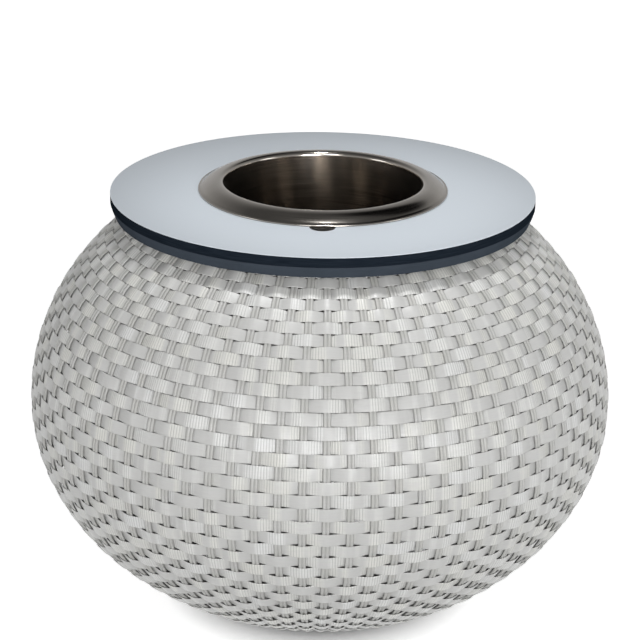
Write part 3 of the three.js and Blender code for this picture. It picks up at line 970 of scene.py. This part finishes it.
def make_world():
    """Even studio light: white to the camera, and mirrored as a ceiling that darkens, with a dark card."""
    world = bpy.data.worlds.new("studio")
    bpy.context.scene.world = world
    world.use_nodes = True
    nodes = Nodes(world.node_tree)
    light = world.node_tree.nodes["Background"]
    light.inputs["Color"].default_value = (1, 1, 1, 1)
    light.inputs["Strength"].default_value = world_strength
    straight, mirrored = light_paths(nodes)

    direction = nodes.add("ShaderNodeTexCoord").outputs["Generated"]
    upward = nodes.split(direction)[2]
    ceiling = nodes.spread(
        upward, ceiling_start_share, ceiling_full_share, ceiling_start_strength, ceiling_full_strength)
    toward = nodes.add("ShaderNodeVectorMath", operation="DOT_PRODUCT")
    nodes.feed(toward.inputs[0], direction)
    toward.inputs[1].default_value = (
        math.sin(card_azimuth) * math.cos(card_elevation),
        math.cos(card_azimuth) * math.cos(card_elevation),
        math.sin(card_elevation),
    )
    card = nodes.spread(toward.outputs["Value"], math.cos(card_edge), math.cos(card_core), 1, card_shade)
    ceiling = nodes.math("MULTIPLY", ceiling, card)

    shown = nodes.add("ShaderNodeBackground")
    shown.inputs["Color"].default_value = (1, 1, 1, 1)
    nodes.feed(shown.inputs["Strength"], nodes.math("MAXIMUM", straight, ceiling))
    both = nodes.add("ShaderNodeMixShader")
    nodes.feed(both.inputs[0], nodes.math("MAXIMUM", straight, mirrored))
    nodes.feed(both.inputs[1], light.outputs[0])
    nodes.feed(both.inputs[2], shown.outputs[0])
    nodes.feed(world.node_tree.nodes["World Output"].inputs["Surface"], both.outputs[0])


def make_sun(name, strength, elevation, azimuth):
    """A soft sun from an elevation and an azimuth, counted from the front to the right."""
    lamp = bpy.data.lights.new(name, "SUN")
    lamp.energy = strength
    lamp.angle = sun_spread
    sun = linked(bpy.data.objects.new(name, lamp))
    level = math.cos(elevation)
    back = Vector((math.sin(azimuth) * level, -math.cos(azimuth) * level, math.sin(elevation)))
    sun.rotation_euler = back.to_track_quat("Z", "Y").to_euler()


def make_top_light():
    """A spot from above on the table's top, a little brighter towards the front."""
    lamp = bpy.data.lights.new("top_light", "SPOT")
    lamp.energy = top_light_power
    lamp.spot_size = top_light_cone
    lamp.spot_blend = top_light_blend_share
    lamp.shadow_soft_size = top_light_radius
    spot = linked(bpy.data.objects.new("top_light", lamp))
    spot.location = top_light_place
    spot.rotation_euler = (top_light_place - top_light_aim).to_track_quat("Z", "Y").to_euler()


def make_floor():
    """The white floor under the feet."""
    corners = np.array([(-1, -1, 0), (1, -1, 0), (1, 1, 0), (-1, 1, 0)]) * floor_half
    floor = mesh_object("floor", corners, np.array([[0, 1, 2, 3]]))
    floor.data.materials.append(floor_material())


def make_camera():
    """The photograph's camera: from the front, above, with a slight roll."""
    lens = bpy.data.cameras.new("camera")
    lens.lens = camera_lens_mm
    lens.sensor_width = camera_sensor_mm
    camera = linked(bpy.data.objects.new("camera", lens))
    back = Vector((0, -math.cos(camera_elevation), math.sin(camera_elevation)))
    turn = back.to_track_quat("Z", "Y").to_matrix() @ Matrix.Rotation(camera_roll, 3, "Z")
    camera.matrix_world = turn.to_4x4()
    camera.location = Vector((camera_aim_side, 0, camera_aim_height)) + back * camera_distance
    bpy.context.scene.camera = camera


# Assembly

def dress(piece, body, material, slot, *nodes):
    """Gives a new piece its body and its material, and hides the CAD nodes that it stands for."""
    piece.data.materials.clear()
    piece.data.materials.append(material)
    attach(piece, body)
    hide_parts(*nodes)


def repaint(nodes, material, bevel):
    """Gives CAD nodes a material and soft edges."""
    for node in nodes:
        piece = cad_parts[node]
        piece.data.materials.clear()
        piece.data.materials.append(material)
        soften(node, bevel)


def named(*starts):
    """The CAD nodes whose names start so."""
    return [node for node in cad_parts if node.startswith(starts)]


make_camera()
make_world()
make_sun("key", key_strength, key_elevation, key_azimuth)
make_sun("fill", fill_strength, fill_elevation, fill_azimuth)
make_sun("side_left", side_strength, side_elevation, -side_azimuth)
make_sun("side_right", side_strength, side_elevation, side_azimuth)
make_top_light()
make_floor()

weaver_resin = strand_material("resin_weaver", **weaver_look)
stake_resin = strand_material("resin_stake", **stake_look)
for weavers in make_weavers():
    dress(weavers, "table", weaver_resin, "resin_wicker", "woven_globe")
dress(make_stakes(), "table", stake_resin, "resin_wicker", "woven_globe")
dress(make_binding("binding_upper_strand", "frame_ring_upper"), "table", weaver_resin, "resin_wicker",
      "binding_upper")
dress(make_binding("binding_lower_strand", "frame_ring_lower"), "table", weaver_resin, "resin_wicker",
      "binding_lower")

dress(plate("decor_face", "top_decor_sheet", decor_edge_round), "table", decor_material(), "pale_decor",
      "top_decor_sheet")
dress(plate("core_board", "top_core_board", board_edge_round), "table", core_material(), "dark_core",
      "top_core_board")
charcoal = coat_material("charcoal_coat", **charcoal_look)
dress(make_carrier(), "table", charcoal, "charcoal_coat", "carrier_ring")
dress(make_bucket(), "bucket", steel_material(), "polished_steel", "ice_bucket")

coat = coat_material("frame_coat", **frame_look)
for ring in ("frame_ring_upper", "frame_ring_middle", "frame_ring_lower"):
    dress(make_ring(ring), "table", coat, "frame_coat", ring)
ribs = sorted(named("frame_rib_"))
for index, rib in enumerate(ribs):
    dress(make_rib(rib, 2 * math.pi * index / len(ribs)), "table", coat, "frame_coat", rib)
repaint(named("base_bar"), coat, bar_bevel)

zinc = zinc_material()
repaint(named("mount_bracket"), zinc, bracket_bevel)
repaint(named("bracket_bolt", "carrier_screw", "foot_screw"), zinc, fastener_bevel)
feet = [node for node in named("foot_") if "screw" not in node]
repaint(feet, nylon_material(), foot_bevel)

view = bpy.context.scene.view_settings
view.view_transform = "Standard"
